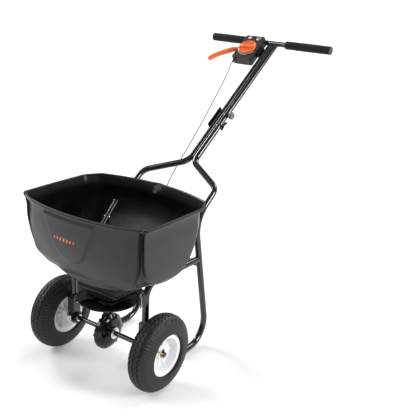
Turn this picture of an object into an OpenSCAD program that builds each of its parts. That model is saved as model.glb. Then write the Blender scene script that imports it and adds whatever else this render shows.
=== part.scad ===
// Walk-behind broadcast spreader: two pneumatic wheels, bent tube frame, moulded hopper,
// bevel gearbox, spinning impeller and a handle with a rate dial and an on-off lever.

/* [Wheels and axle] */
// Outside diameter of a tyre
wheel_d = 254; // [200:1:320]
// Width of a tyre
wheel_w = 80; // [60:1:95]
// Distance between the wheels' middle planes
track = 428; // [390:1:520]
// Diameter of the wheel rim's flange
rim_d = 137; // [110:1:160]
// Diameter of the axle rod
axle_d = 16; // [12:0.5:20]

/* [Hopper] */
// Outside width of the hopper across its side walls
hopper_w = 500; // [400:1:600]
// Height from the outlet to the rim
hopper_h = 287; // [230:1:350]
// Height of the outlet above the ground
outlet_z = 290; // [280:1:320]
// Thickness of the hopper's wall
hopper_wall = 3; // [2:0.5:5]
// How far the rim's flange stands out from the wall
rim_lip = 6; // [4:0.5:10]
// Height of the rim's flange
rim_lip_h = 9; // [6:0.5:15]

/* [Frame] */
// Outside diameter of the lower frame tubes
tube_d = 22; // [18:0.5:26]
// Wall thickness of every tube
tube_wall = 1.5; // [1:0.1:2.5]
// Half the distance between the legs at the widest bend
leg_half = 160; // [145:1:166]
// Distance from the axle back to the legs' lower bend
leg_back = 357; // [300:1:420]
// Distance from the axle back to the feet's ends
foot_end = 205; // [180:1:260]
// Half the distance between the front struts
strut_half = 156; // [145:1:160]

/* [Handle] */
// Outside diameter of the upper handle tubes
upper_d = 19; // [16:0.5:22]
// Height of the crossbar's centre line
bar_z = 999; // [900:1:1100]
// Distance from the axle back to the crossbar
bar_y = 940; // [860:1:1020]
// Length of the crossbar with its grips
bar_len = 532; // [460:1:600]
// Sideways shift of the crossbar, which leaves room for the control box
bar_shift = -20; // [-40:1:0]
// Diameter of the crossbar
bar_d = 20; // [18:0.5:25]
// Outside diameter of the foam grips
grip_d = 32; // [26:0.5:38]
// Length of the left grip
grip_left = 150; // [110:1:160]
// Length of the right grip
grip_right = 192; // [120:1:200]

/* [Control box] */
// Width of the control box
box_w = 86; // [78:1:94]
// Length of the control box along the handle
box_l = 132; // [115:1:145]
// Thickness of the control box
box_t = 34; // [30:1:40]
// Diameter of the rate dial
dial_d = 72; // [50:1:74]
// Length of the on-off lever from its pivot
lever_len = 150; // [120:1:170]

/* [Spreading gear] */
// Diameter of the impeller
impeller_d = 202; // [160:1:215]
// Number of fins on the impeller
impeller_fins = 6; // [4:1:8]
// Diameter of the spindle
spindle_d = 12; // [10:0.5:14]
// Height of the impeller's disc above the ground
impeller_z = 244; // [242:1:246]
// Outside radius of the gearbox
gearbox_r = 61; // [56:1:66]
// Teeth of the ring gear on the axle
ring_teeth = 36; // [36:12:48]
// Teeth of the spindle's pinion
pinion_teeth = 12; // [12:12:12]

/* [Fits] */
// Radial clearance of a shaft that runs in a bore
run_gap = 0.06; // [0.03:0.01:0.09]
// Distance between parts that stand apart
gap = 0.5; // [0.4:0.1:0.8]

/* [Hidden] */
$fn = 64;

axle_z = wheel_d / 2;
tube_r = tube_d / 2;
rim_z = outlet_z + hopper_h;
pair_half = tube_r + 0.3;

// The handle's line: its foot, its slope and its whole length
handle_y = 420;
handle_z = 621;
handle_a = atan2(bar_z - handle_z, bar_y - handle_y);
handle_l = norm([bar_y - handle_y, bar_z - handle_z]);
// Where the lower tubes' shoulders stop and how far their spigots reach
step_s = 160;
spigot_l = 105;
bolt_s = [185, 240];

// Hopper sections from the rim down, in mm at the nominal size: height above the outlet,
// front half width, front corner, front bulge, side half width, side's front end, back corner,
// back bulge. The side panels stand out beyond the front's corners, and end in a round foot.
hopper_sections = [
    [287, 243, 130, 45, 250, 122, 147, 98], [270, 238, 127, 43, 243, 119, 142, 95],
    [210, 233, 125, 40, 241, 118, 138, 88], [160, 226, 119, 38, 240, 111, 124, 78],
    [125, 217, 114, 32, 238, 96, 104, 70], [107, 211, 112, 26, 235, 80, 90, 66],
    [88, 197, 106, 24, 228, 42, 70, 62], [76, 180, 101, 22, 214, 0, 50, 60],
    [68, 164, 98, 20, 180, 8, 47, 52], [62, 138, 96, 20, 144, 14, 48, 46],
    [50, 112, 90, 24, 122, 40, 50, 34],
    [28, 95, 62, 14, 96, 58, 58, 12], [0, 82, 52, 2, 82, 50, 52, 2]];
outlet_section = hopper_sections[len(hopper_sections) - 1];
hopper_nose = hopper_sections[0][2] + hopper_sections[0][3];
section_scale_x = hopper_w / 500;
section_scale_z = hopper_h / 287;
outlet_half_x = outlet_section[1] * section_scale_x;
outlet_half_y = outlet_section[2];

// Middle of the object's box, which is the origin of the finished part
bar_low = bar_shift - bar_len / 2;
x_mid = (bar_low + track / 2 + wheel_w / 2) / 2;
front_y = -(hopper_nose + rim_lip);
back_y = bar_y + grip_d / 2;
y_mid = (front_y + back_y) / 2;

function column(h, c) =
    lookup(h, [for (r = hopper_sections) [r[0] * section_scale_z, r[c]]]);
wall_steps = 12;
side_steps = 4;
function front_swell(u) = 1 - u * u;
function back_swell(u) = 0.4 * min(1, (1 - abs(u)) / 0.12) + 0.6 * (1 - u * u);
// One closed outline of the hopper at a height above the outlet, moved out by some distance
function hopper_ring(h, out, z) = let (
    fx = column(h, 1) * section_scale_x + out,
    f = column(h, 2) + out,
    fb = column(h, 3),
    x = column(h, 4) * section_scale_x + out,
    s = column(h, 5) + out / 2,
    b = column(h, 6) + out,
    bb = column(h, 7)) concat(
    [for (i = [0:wall_steps]) let (u = -1 + 2 * i / wall_steps)
        [u * fx, -f - fb * front_swell(u), z]],
    [for (i = [0:side_steps - 1]) [x, -s + (s + b) * i / side_steps, z]],
    [for (i = [0:wall_steps - 1]) let (u = 1 - 2 * i / wall_steps)
        [u * x, b + bb * back_swell(u), z]],
    [for (i = [0:side_steps]) [-x, b - (s + b) * i / side_steps, z]]);
hopper_heights = [0, 28, 50, 62, 68, 76, 88, 107, 125, 160, 210, 260];

function unit(v) = v / norm(v);
// Points of a round bend of radius r at corner p, between the directions of a and b
function bend(a, p, b, r, n = 6) = let (
    u = unit(a - p), v = unit(b - p), ang = acos(u * v), t = r / tan(ang / 2),
    c = p + unit(u + v) * r / sin(ang / 2), s = p + u * t - c, e = p + v * t - c, w = 180 - ang)
    [for (k = [0:n]) c + (sin((1 - k / n) * w) * s + sin(k / n * w) * e) / sin(w)];
function rounded_path(p, r) = concat([p[0]],
    [for (i = [1:len(p) - 2]) each bend(p[i - 1], p[i], p[i + 1], r[i - 1])], [p[len(p) - 1]]);
function tangent(p, i) = unit(p[min(i + 1, len(p) - 1)] - p[max(i - 1, 0)]);
function path_ring(p, i, r, n) = let (t = tangent(p, i), u = unit(cross(t, [1, 0, 0])),
    w = cross(t, u)) [for (j = [0:n - 1]) p[i] + r * (cos(360 * j / n) * u + sin(360 * j / n) * w)];
// Triangles of the walls between successive rings of n points
function wall_faces(rings, n) = [for (i = [0:rings - 2], j = [0:n - 1]) let (k = (j + 1) % n)
    each [[i * n + j, (i + 1) * n + j, (i + 1) * n + k], [i * n + j, (i + 1) * n + k, i * n + k]]];
function ring_loop_faces(rings, n) = [for (i = [0:rings - 1], j = [0:n - 1])
    let (k = (j + 1) % n, m = (i + 1) % rings)
    each [[i * n + j, m * n + j, m * n + k], [i * n + j, m * n + k, i * n + k]]];

module rod_along(p, r, n = 20) {
    rings = len(p);
    points = [for (i = [0:rings - 1]) each path_ring(p, i, r, n)];
    faces = concat(wall_faces(rings, n), [[for (j = [0:n - 1]) j]],
        [[for (j = [n - 1:-1:0]) (rings - 1) * n + j]]);
    polyhedron(points, faces);
}

// A hollow tube along a path, with flat open ends
module tube_along(p, r, wall, n = 20) {
    rings = len(p);
    inner = (r - wall) / cos(180 / n);
    outer_rings = [for (i = [0:rings - 1]) each path_ring(p, i, r, n)];
    inner_rings = [for (i = [rings - 1:-1:0]) each path_ring(p, i, inner, n)];
    polyhedron(concat(outer_rings, inner_rings), ring_loop_faces(2 * rings, n));
}

module pipe(d, l, bore) difference() {
    cylinder(d = d, h = l);
    translate([0, 0, -1]) cylinder(d = bore, h = l + 2);
}
module along_x(x = 0) translate([x, 0, 0]) rotate([0, 90, 0]) children();
module ring_of(n) for (i = [0:n - 1]) rotate(360 * i / n) children();
module both_sides() {
    children();
    mirror([1, 0, 0]) children();
}
// Puts the design, drawn about the axle's middle, on the origin of the finished part
module placed() translate([-x_mid, -y_mid, 0]) children();
module at_axle() placed() translate([0, 0, axle_z]) children();
// The handle's own frame: Y runs up the handle, Z stands out of its front face
module on_handle(x = 0, s = 0, n = 0)
    placed() translate([0, handle_y, handle_z]) rotate([handle_a, 0, 0]) translate([x, s, n]) children();
function handle_point(x, s) = [x, handle_y + s * cos(handle_a), handle_z + s * sin(handle_a)];

// ---- Hopper and outlet ----
module hopper() color("#2b2c2e") placed() {
    top = hopper_h;
    lip = rim_lip;
    outer = [for (h = hopper_heights) hopper_ring(h * section_scale_z, 0, outlet_z + h * section_scale_z)];
    under_lip = hopper_ring(top - rim_lip_h, 0, rim_z - rim_lip_h);
    lip_low = hopper_ring(top - rim_lip_h, lip, rim_z - rim_lip_h);
    lip_top = hopper_ring(top, lip, rim_z);
    inner_top = hopper_ring(top, -hopper_wall, rim_z);
    inner = [for (i = [len(hopper_heights) - 1:-1:0]) let (h = hopper_heights[i] * section_scale_z)
        hopper_ring(max(h - 1.2 * hopper_wall, 0), -hopper_wall, outlet_z + h)];
    rings = concat(outer, [under_lip, lip_low, lip_top, inner_top], inner);
    n = len(outer[0]);
    polyhedron([for (r = rings) each r], ring_loop_faces(len(rings), n));
}

base_t = 4;
base_z = 260.5;
bush_d = 22;
cable_d = 3.4;
port_r = 46;
port_d = 24;
port_angles = [-50, 50];
// The control wire runs straight back from the shut-off plate, beside the tongue
wire_x = -11;
wire_z = 266;
wire_d = 1.6;
ferrule_d = 7;
anchor_y = 144;
module outlet_base() color("#1c1d1f") placed() {
    x = outlet_half_x + 4;
    y = outlet_half_y + 4;
    wall = 7;
    difference() {
        translate([-x, -y, base_z]) cube([2 * x, 2 * y, outlet_z - base_z]);
        translate([wall - x, wall - y, base_z + base_t]) cube([2 * (x - wall), 2 * (y - wall), outlet_z]);
        translate([0, 0, base_z - 1]) cylinder(d = bush_d, h = base_t + 2);
        for (a = port_angles) rotate(a) translate([0, -port_r, base_z - 1]) cylinder(d = port_d, h = base_t + 2);
    }
    translate([-6, y, base_z]) cube([12, anchor_y - y, base_t]);
    difference() {
        translate([-17, anchor_y - 4, base_z]) cube([23, 4, 13]);
        translate([wire_x, anchor_y + 1, wire_z]) rotate([90, 0, 0]) cylinder(d = ferrule_d, h = 6);
    }
}

plate_t = 2;
plate_w = 96;
shut_travel = 20;
plate_z = base_z - gap - plate_t;
module shutoff_plate() color("#3b3d40") placed() translate([0, 0, plate_z]) difference() {
    union() {
        translate([-plate_w / 2, -62, 0]) cube([plate_w, 112, plate_t]);
        translate([-20, 50, 0]) cube([40, 56, plate_t]);
        translate([wire_x - 5, 100, 0]) cube([10, 3, 13]);
    }
    translate([0, 0, -1]) cylinder(d = bush_d + 4, h = plate_t + 2);
    translate([-bush_d / 2 - 2, -70, -1]) cube([bush_d + 4, 70, plate_t + 2]);
    for (a = port_angles) rotate(a) translate([0, -port_r, -1]) cylinder(d = port_d, h = plate_t + 2);
    translate([wire_x, 108, wire_z - plate_z]) rotate([90, 0, 0]) cylinder(d = wire_d, h = 12);
}
module shutoff_guides() color("#55585c") placed() both_sides()
    translate([plate_w / 2 - 6, -outlet_half_y, plate_z - gap - 2]) {
        cube([18, 2 * outlet_half_y, 2]);
        translate([6 + gap, 0, 2]) cube([12 - gap, 2 * outlet_half_y, base_z - plate_z + gap]);
    }

shield_r = impeller_d / 2 + 7;
module deflector() color("#151617") placed() {
    low = impeller_z - 20;
    difference() {
        translate([0, 0, low]) rotate(22) rotate_extrude(angle = 136)
            translate([shield_r, 0]) square([2.5, base_z - low]);
        translate([-23, shield_r - 20, base_z - 5]) cube([46, 40, 12]);
    }
    both_sides() translate([62, outlet_half_y + 4, base_z - 2]) cube([14, 36, 5]);
}

// ---- Impeller, spindle and agitator ----
hub_r = 17;
module impeller() color("#121314") placed() translate([0, 0, impeller_z]) difference() {
    union() {
        cylinder(d = impeller_d, h = 2.5);
        translate([0, 0, -16]) cylinder(r = hub_r, h = 24);
        difference() {
            cylinder(d = impeller_d, h = 5);
            translate([0, 0, -1]) cylinder(d = impeller_d - 4, h = 8);
        }
        ring_of(impeller_fins) translate([hub_r - 2, -1, 0]) cube([impeller_d / 2 - hub_r, 2, 9]);
    }
    translate([0, 0, -20]) cylinder(d = spindle_d, h = 40);
}

ring_r = 40;
pinion_r = ring_r * pinion_teeth / ring_teeth;
pinion_low = ring_r - 14;
tooth_h = 2;
agitator_z = 535;
spindle_low = axle_z + pinion_low;
module spindle() color("#b9bcc0") placed() difference() {
    translate([0, 0, spindle_low]) cylinder(d = spindle_d, h = agitator_z + 4 - spindle_low);
    translate([0, 0, agitator_z]) agitator_axis() cylinder(d = finger_d, h = 2 * finger_d, center = true);
}
module spindle_bush() color("#d9d6cc") placed() translate([0, 0, base_z]) difference() {
    union() {
        cylinder(d = bush_d, h = base_t);
        translate([0, 0, base_t]) cylinder(d = bush_d + 8, h = 8);
    }
    translate([0, 0, -1]) cylinder(d = spindle_d + 2 * run_gap, h = 20);
}
finger_d = 16;
finger_up = 50;
finger_down = 62;
// The finger leans forward; its own Z runs up to its capped end
module agitator_axis() rotate([-52, 0, 8]) children();
module agitator_finger() color("#111214") placed() translate([0, 0, agitator_z]) agitator_axis() {
    difference() {
        union() {
            translate([0, 0, -finger_down]) cylinder(d = finger_d, h = finger_up + finger_down);
            translate([0, 0, finger_up - 9]) cylinder(d = finger_d + 3, h = 9);
        }
        translate([0, 0, -12]) rotate([0, 90, 0]) cylinder(d = 5, h = 40, center = true);
    }
}
module agitator_pin() color("#d8dade") placed() translate([0, 0, agitator_z]) agitator_axis()
    translate([0, 0, -12]) rotate([0, 90, 0]) {
        cylinder(d = 5, h = finger_d + 6, center = true);
        translate([0, 0, finger_d / 2]) cylinder(d = 8, h = 3);
    }

// ---- Gearbox ----
case_half = 23;
case_wall = 3;
neck_r = 13;
neck_top = impeller_z - 16 - gap - axle_z;
module case_cavity() {
    along_x(-case_half + case_wall) cylinder(r = gearbox_r - case_wall - 3, h = 2 * (case_half - case_wall));
    cylinder(d = spindle_d + 2 * run_gap, h = 200);
}
module case_half_solid() {
    along_x() {
        cylinder(r = gearbox_r, h = 6);
        cylinder(r = gearbox_r - 3, h = case_half);
        cylinder(r = 20, h = case_half + 4);
    }
    intersection() {
        cylinder(r = neck_r, h = neck_top);
        translate([0, -50, 0]) cube([100, 100, 200]);
    }
}
module gear_case_half() difference() {
    case_half_solid();
    case_cavity();
    along_x(-1) cylinder(d = case_bush_d, h = 60);
    for (a = [30:60:330]) rotate([a, 0, 0]) translate([-1, 0, gearbox_r - 6]) rotate([0, 90, 0])
        cylinder(d = 4, h = 60);
}
// Each half stands this far from the joint between them
split_gap = 0.05;
module gear_case_right() color("#17181a") at_axle() translate([split_gap, 0, 0]) gear_case_half();
module gear_case_left() color("#222326") at_axle() mirror([1, 0, 0]) translate([split_gap, 0, 0])
    gear_case_half();
module case_screws() color("#8f9296") at_axle() for (a = [30:60:330]) rotate([a, 0, 0])
    translate([0, 0, gearbox_r - 6]) rotate([0, 90, 0]) {
        translate([0, 0, -case_half - 1]) cylinder(d = 4, h = 2 * case_half + 2);
        translate([0, 0, case_half + split_gap]) cylinder(d = 7, h = 3);
    }
case_bush_d = axle_d + 10;
module case_bushes() color("#c9c3b0") at_axle() both_sides() along_x(case_half - 4)
    pipe(case_bush_d, 10, axle_d + 2 * run_gap);
module case_rings() color("#d4d6d9") at_axle() both_sides() along_x(case_half + 6.5) {
    pipe(38, 1.5, axle_d + 2 * run_gap + 0.4);
    translate([0, 0, 1.5]) pipe(28, 3.5, axle_d + 2 * run_gap + 0.4);
}

// Bevel pair: the teeth taper towards the point where the two axes cross
// One tapering tooth on a cone whose large end has radius r and stands h from the crossing point
module bevel_tooth(r, h, teeth, fill) {
    low = 0.66;
    half = 180 / teeth * fill;
    k = tooth_h / norm([r, h]);
    // corner directions: root and tip, left and right, as unit-height points of the large end
    root_p = [r - h * k * 0.9, h + r * k * 0.9];
    tip_p = [r + h * k * 0.7, h - r * k * 0.7];
    function corner(p, a, s) = s * [p[0] * cos(a), p[0] * sin(a), p[1]];
    pts = [for (s = [low, 1]) each [corner(root_p, -half, s), corner(root_p, half, s),
        corner(tip_p, half * 0.55, s), corner(tip_p, -half * 0.55, s)]];
    polyhedron(pts, [[0, 2, 1], [0, 3, 2], [4, 5, 6], [4, 6, 7], [0, 1, 5], [0, 5, 4],
        [1, 2, 6], [1, 6, 5], [2, 3, 7], [2, 7, 6], [3, 0, 4], [3, 4, 7]]);
}
module bevel_blank(r, h, bore, back) {
    k = tooth_h * 0.8 / norm([r, h]);
    rr = r - h * k;
    hh = h + r * k;
    difference() {
        rotate_extrude() polygon([[0, hh * 0.66], [rr * 0.66, hh * 0.66], [rr, hh], [rr, hh + back],
            [0, hh + back]]);
        translate([0, 0, -1]) cylinder(d = bore, h = 200);
    }
}
module ring_gear() color("#c8b98a") at_axle() rotate([0, -90, 0]) {
    ring_of(ring_teeth) rotate(180 / ring_teeth) bevel_tooth(ring_r, pinion_r, ring_teeth, 0.42);
    bevel_blank(ring_r, pinion_r, axle_d, 3);
}
module pinion_gear() color("#a9adb1") at_axle() {
    ring_of(pinion_teeth) bevel_tooth(pinion_r, ring_r, pinion_teeth, 0.42);
    bevel_blank(pinion_r, ring_r, spindle_d, 4);
}

// ---- Axle, brackets and wheels ----
hub_in = wheel_w / 2 - 2;
hub_out = 14;
axle_end = track / 2 + hub_out + 10;
pin_x = track / 2 + hub_out + 4;
module axle() color("#1a1b1c") at_axle() difference() {
    along_x(-axle_end) cylinder(d = axle_d, h = 2 * axle_end);
    for (s = [-1, 1]) translate([s * pin_x, 0, 0]) cylinder(d = 4, h = 40, center = true);
}
bracket_w = 30;
bearing_d = 46;
bracket_x = strut_half;
module bracket_right() {
    difference() {
        union() {
            translate([bracket_x - 14, -bracket_w / 2, 8]) cube([28, bracket_w, 76]);
            along_x(bracket_x - 14) cylinder(d = bearing_d, h = 6);
        }
        translate([bracket_x, 0, 20]) cylinder(d = tube_d + 0.4, h = 90);
        translate([bracket_x - 8, -bracket_w, 8]) cube([40, 2 * bracket_w, 10]);
        along_x(bracket_x - 20) cylinder(d = bearing_bush_d, h = 40);
        translate([bracket_x, 0, 58]) rotate([0, 90, 0]) cylinder(d = 6.4, h = 60, center = true);
    }
}
module axle_brackets() color("#1b1c1e") at_axle() both_sides() bracket_right();
module bracket_bolts() color("#c9a64b") at_axle() for (s = [-1, 1])
    translate([s * bracket_x, 0, 58]) rotate([0, 90, 0]) {
        cylinder(d = 6, h = 34, center = true);
        translate([0, 0, 14]) cylinder(d = 11, h = 4, $fn = 6);
        translate([0, 0, -19]) cylinder(d = 11, h = 5, $fn = 6);
    }
bearing_bush_d = axle_d + 8;
module axle_bearings() color("#dcdcd8") at_axle() both_sides() {
    along_x(bracket_x - 22) pipe(34, 7.9, axle_d + 2 * run_gap);
    along_x(bracket_x - 14.1) pipe(bearing_bush_d, 9, axle_d + 2 * run_gap);
}
foot_x = leg_half - 5;
side_joint = handle_point(pair_half, step_s);
function side_corners(s) = [for (p = [side_joint, handle_point(pair_half, 0),
    [leg_half - 1, 349, 572], [leg_half, 240, 489], [leg_half - 14, leg_back, tube_r],
    [foot_x, foot_end, tube_r]]) [s * p[0], p[1], p[2]]];
bend_radii = [44, 45, 100, 75];
function side_path(s) = rounded_path(side_corners(s), bend_radii);
module leg_cutter(s) {
    c = side_corners(s);
    rod_along([c[3], c[4]], tube_r + 0.1, 20);
}
module side_tube(s) {
    tube_along(side_path(s), tube_r, tube_wall);
    translate([0, handle_y, handle_z]) rotate([handle_a, 0, 0]) translate([s * pair_half, step_s - 8, 0])
        rotate([-90, 0, 0]) difference() {
            union() {
                cylinder(d = upper_d - 2 * tube_wall - 0.2, h = spigot_l + 8);
                cylinder(r = tube_r - 0.3, h = 8.1);
            }
            translate([0, 0, -1]) cylinder(d = upper_d - 4 * tube_wall - 0.2, h = spigot_l + 20);
            for (b = bolt_s) translate([0, 0, b - step_s + 8]) rotate([0, 90, 0])
                cylinder(d = 6.4, h = 60, center = true);
        }
}
module side_tube_left() color("#17181a") placed() side_tube(-1);
module side_tube_right() color("#17181a") placed() side_tube(1);
// Where the leg's centre line passes a given height
function leg_at(z) = let (c = side_corners(1), t = (c[3][2] - z) / (c[3][2] - c[4][2]))
    [c[3][0] + t * (c[4][0] - c[3][0]), c[3][1] + t * (c[4][1] - c[3][1])];
cross_z = 318;
module rear_cross_tube() color("#17181a") placed() {
    leg = leg_at(cross_z);
    difference() {
        translate([-leg[0], leg[1], cross_z]) along_x() pipe(tube_d - 2, 2 * leg[0], tube_d - 2 - 2 * tube_wall);
        for (s = [-1, 1]) leg_cutter(s);
    }
}
strut_top = 341;
strut_foot = axle_z + 20.5;
module strut(s) placed() difference() {
    x = s * strut_half;
    tube_along(rounded_path([[x, 0, strut_foot], [x, 0, strut_top], [x, leg_at(strut_top)[1], strut_top]],
        [46]), tube_r, tube_wall);
    translate([x, 0, axle_z + 58]) rotate([0, 90, 0]) cylinder(d = 6.4, h = 60, center = true);
    leg_cutter(s);
}
module strut_left() color("#17181a") strut(-1);
module strut_right() color("#17181a") strut(1);
module foot_caps() color("#0e0f10") placed() for (s = [-1, 1]) {
    c = side_corners(s);
    a = atan2(c[5][1] - c[4][1], c[5][0] - c[4][0]);
    translate(c[5]) rotate([0, 90, a]) {
        translate([0, 0, 0.1]) cylinder(r = tube_r, h = 5);
        translate([0, 0, -14]) cylinder(r = tube_r - tube_wall - 0.4, h = 15);
    }
}
tread_r = wheel_d / 2;
bead_r = rim_d / 2 - 5;
// The bead's own radius, and the inside of the flanges that hold it
seat_r = bead_r - 3.4;
flange_z = 28;
bead_in = flange_z - 7;
// Half outline of a tyre's section, from one bead over the tread to the other
function tyre_outline(w, top, low, n = 24) = [for (k = [0:n]) let (t = 180 * k / n, c = cos(t), q = sin(t))
    [low + (top - low) * pow(abs(q), 0.72), sign(c) * pow(abs(c), 0.8) * w / 2]];
module tyre() rotate_extrude() difference() {
    polygon(tyre_outline(wheel_w, tread_r, seat_r));
    polygon(concat([[rim_d / 2 + 2, -bead_in], [seat_r - 1, -bead_in], [seat_r - 1, bead_in],
        [rim_d / 2 + 2, bead_in]], tyre_outline(wheel_w - 12, tread_r - 9, rim_d / 2 + 8)));
    for (z = [-60, flange_z - 0.1]) translate([seat_r - 1, z])
        square([rim_d / 2 + gap - seat_r + 1, 60 - flange_z + 0.1]);
}
module tyre_left() color("#1d1e20") at_axle() along_x(-track / 2) tyre();
module tyre_right() color("#1d1e20") at_axle() along_x(track / 2) tyre();
rib_count = 10;
rib_out = hub_out - 3;
valve_at = (bead_r + 2) / 2;
// The valve stands midway between two ribs
valve_a = 360 / rib_count * 6.5;
// The rim: a barrel inside the tyre with two flanges, a ribbed web and a long hub; its Z faces out
module rim(bore) difference() {
    union() {
        rotate_extrude() difference() {
            polygon([[bead_r - 4, -flange_z], [rim_d / 2, -flange_z], [rim_d / 2, -flange_z - 3],
                [bead_r - 8, -flange_z - 3], [bead_r - 14, -10], [bead_r - 14, 10],
                [bead_r - 8, flange_z + 3], [rim_d / 2, flange_z + 3], [rim_d / 2, flange_z],
                [bead_r - 4, flange_z], [bead_r - 9, 10], [bead_r - 9, -10]]);
            square([1, 1]);
        }
        translate([0, 0, -4]) cylinder(r = bead_r - 12, h = 8);
        translate([0, 0, -hub_in]) cylinder(d = 34, h = hub_in + hub_out);
        ring_of(rib_count) translate([14, -1.5, -20]) cube([bead_r - 27, 3, 20 + rib_out]);
    }
    translate([0, 0, -60]) cylinder(d = bore, h = 120);
    rotate(valve_a) translate([valve_at, 0, 0]) cylinder(d = 9.6, h = 80, center = true);
}

module rim_left() color("#e9eaea") at_axle() along_x(-track / 2) mirror([0, 0, 1]) rim(axle_d + 2 * run_gap);
module rim_right() color("#e9eaea") at_axle() along_x(track / 2) rim(axle_d);
module valve() translate([valve_at, 0, 0]) {
    translate([0, 0, -6]) cylinder(d = 9, h = 24);
    translate([0, 0, 18]) cylinder(d = 6, h = 16);
}
module valve_left() color("#b8862f") at_axle() along_x(-track / 2) mirror([0, 0, 1]) rotate(valve_a) valve();
module valve_right() color("#b8862f") at_axle() along_x(track / 2) rotate(valve_a) valve();
module hub_washers() color("#b7babd") at_axle() for (s = [-1, 1])
    along_x(s * (track / 2 - hub_in - gap - 1) - 1) pipe(30, 2, axle_d + 0.6);
module drive_pin() color("#c9a64b") at_axle() translate([pin_x, 0, 0]) {
    translate([0, 0, -14]) cylinder(d = 4, h = 28);
    translate([0, 0, 14]) sphere(d = 7);
}
module end_collar() color("#141516") at_axle() translate([-pin_x, 0, 0]) {
    translate([0, 0, -14]) cylinder(d = 4, h = 28);
    translate([0, 0, 14]) sphere(d = 7);
}

// ---- Handle ----
module upper_tube(s) on_handle(s * pair_half, step_s + 0.1) difference() {
    rotate([-90, 0, 0]) pipe(upper_d, handle_l - step_s, upper_d - 2 * tube_wall);
    translate([-20, handle_l - step_s - 0.1, 0]) rotate([0, 90, 0]) cylinder(d = bar_d + 0.1, h = 40);
    for (b = bolt_s) translate([0, b - step_s, 0]) rotate([0, 90, 0]) cylinder(d = 6.4, h = 60, center = true);
}
module upper_tube_left() color("#17181a") upper_tube(-1);
module upper_tube_right() color("#17181a") upper_tube(1);
module crossbar() color("#17181a") on_handle(bar_low + 2, handle_l) rotate([0, 90, 0])
    pipe(bar_d, bar_len - 4, bar_d - 2 * tube_wall);
module grip(l) pipe(grip_d, l, bar_d + 0.1);
module grip_left_foam() color("#1f2022") on_handle(bar_low + 4, handle_l) rotate([0, 90, 0]) grip(grip_left - 4);
module grip_right_foam() color("#1f2022") on_handle(bar_low + bar_len - grip_right, handle_l)
    rotate([0, 90, 0]) grip(grip_right - 4);
module grip_caps() color("#3a3c3f") for (m = [0, 1])
    on_handle(m == 0 ? bar_low : bar_low + bar_len, handle_l) mirror([m, 0, 0]) rotate([0, 90, 0])
        difference() {
            cylinder(d = grip_d, h = 3.9);
            translate([0, 0, 1.9]) cylinder(d = bar_d + 0.1, h = 5);
        }

plate_s = 92;
module clamp_plate() color("#0f1011") on_handle(-pair_half - upper_d / 2 - 3.1, step_s + 6) difference() {
    translate([0, 0, -6]) cube([3, plate_s, 24]);
    for (b = bolt_s) translate([-5, b - step_s - 6, 0]) rotate([0, 90, 0]) cylinder(d = 6.4, h = 20);
}
module clamp_bolts() color("#8f9296") for (b = bolt_s)
    on_handle(-pair_half - upper_d / 2 - 3.1, b) rotate([0, 90, 0]) {
        cylinder(d = 6, h = 2 * pair_half + upper_d + 16);
        translate([0, 0, -2.5]) cylinder(d = 12, h = 2.5);
    }
knob_x = pair_half + upper_d / 2 + gap;
module clamp_knob() color("#85888c") on_handle(knob_x, bolt_s[1]) rotate([0, 90, 0]) difference() {
    union() {
        cylinder(d = 13, h = 4);
        translate([0, 0, 4]) cylinder(d = 25, h = 13);
        translate([0, 0, 4]) ring_of(12) translate([12, -1.2, 0]) cube([2, 2.4, 13]);
    }
    translate([0, 0, -1]) cylinder(d = 6 + 2 * run_gap, h = 30);
}
module wing_nut() color("#101112") on_handle(knob_x, bolt_s[0]) rotate([0, 90, 0]) difference() {
    union() {
        cylinder(d = 15, h = 9);
        for (s = [-1, 1]) translate([s > 0 ? 4 : -20, -2.5, 3]) cube([16, 5, 13]);
    }
    translate([0, 0, -1]) cylinder(d = 6 + 2 * run_gap, h = 30);
}

// ---- Control box ----
box_x = -76 - (box_w - 86) / 2;
box_s = handle_l - 64;
face_n = 28;
module in_box() on_handle(box_x, box_s, face_n) children();
module box_outline(inset = 0) {
    r = 8;
    w = box_w / 2 - inset - r;
    l = box_l / 2 - inset - r;
    hull() for (x = [-w, w], y = [-l, l]) translate([x, y]) circle(r, $fn = 32);
}
module control_box() color("#232426") in_box() difference() {
    translate([0, 0, -box_t]) linear_extrude(box_t - 4) box_outline();
    translate([0, 0, -box_t + 2.5]) linear_extrude(box_t) box_outline(2.5);
    lever_sweep();
    translate([-box_w, handle_l - box_s, -face_n]) along_x() cylinder(d = bar_d + 2 * gap, h = 2 * box_w);
    translate([boot_at[0], -box_l / 2 + 10, boot_at[2]]) rotate([90, 0, 0]) cylinder(d = boot_d, h = 20);
}
module control_cover() color("#2a2b2e") in_box() difference() {
    translate([0, 0, -3.9]) linear_extrude(3.9) box_outline();
    translate([0, dial_y, -5]) cylinder(d = dial_post_d + 2 * run_gap, h = 8);
}
dial_y = -6;
dial_post_d = 12;
dial_t = 7;
module rate_dial() color("#f2571c") in_box() translate([0, dial_y, gap]) {
    cylinder(d = dial_d, h = dial_t);
    translate([0, 0, dial_t]) intersection() {
        cylinder(d = dial_d - 12, h = 9);
        translate([-dial_d / 2, -7, 0]) cube([dial_d, 14, 9]);
    }
    translate([0, 0, -gap - 8]) cylinder(d = dial_post_d, h = gap + 8.1);
}
module dial_screw() color("#8f9296") in_box() translate([0, dial_y, -8 - 3])
    cylinder(d = dial_post_d + 6, h = 3);
// Generic rate scale and two plain symbols, standing a hair above the cover
module dial_marks() color("#e8e8e8") in_box() {
    translate([0, dial_y, 0.02]) rotate(200) rotate_extrude(angle = 140) translate([dial_d / 2 + 1.5, 0]) square([2, 0.3]);
    for (x = [-1, 1]) translate([x * 20 - 7, box_l / 2 - 18, 0.02]) cube([14, 3, 0.3]);
}
lever_t = 5;
lever_z = -19;
pivot_at = [-box_w / 2 + 14, 18];
lever_range = 32;
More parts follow.
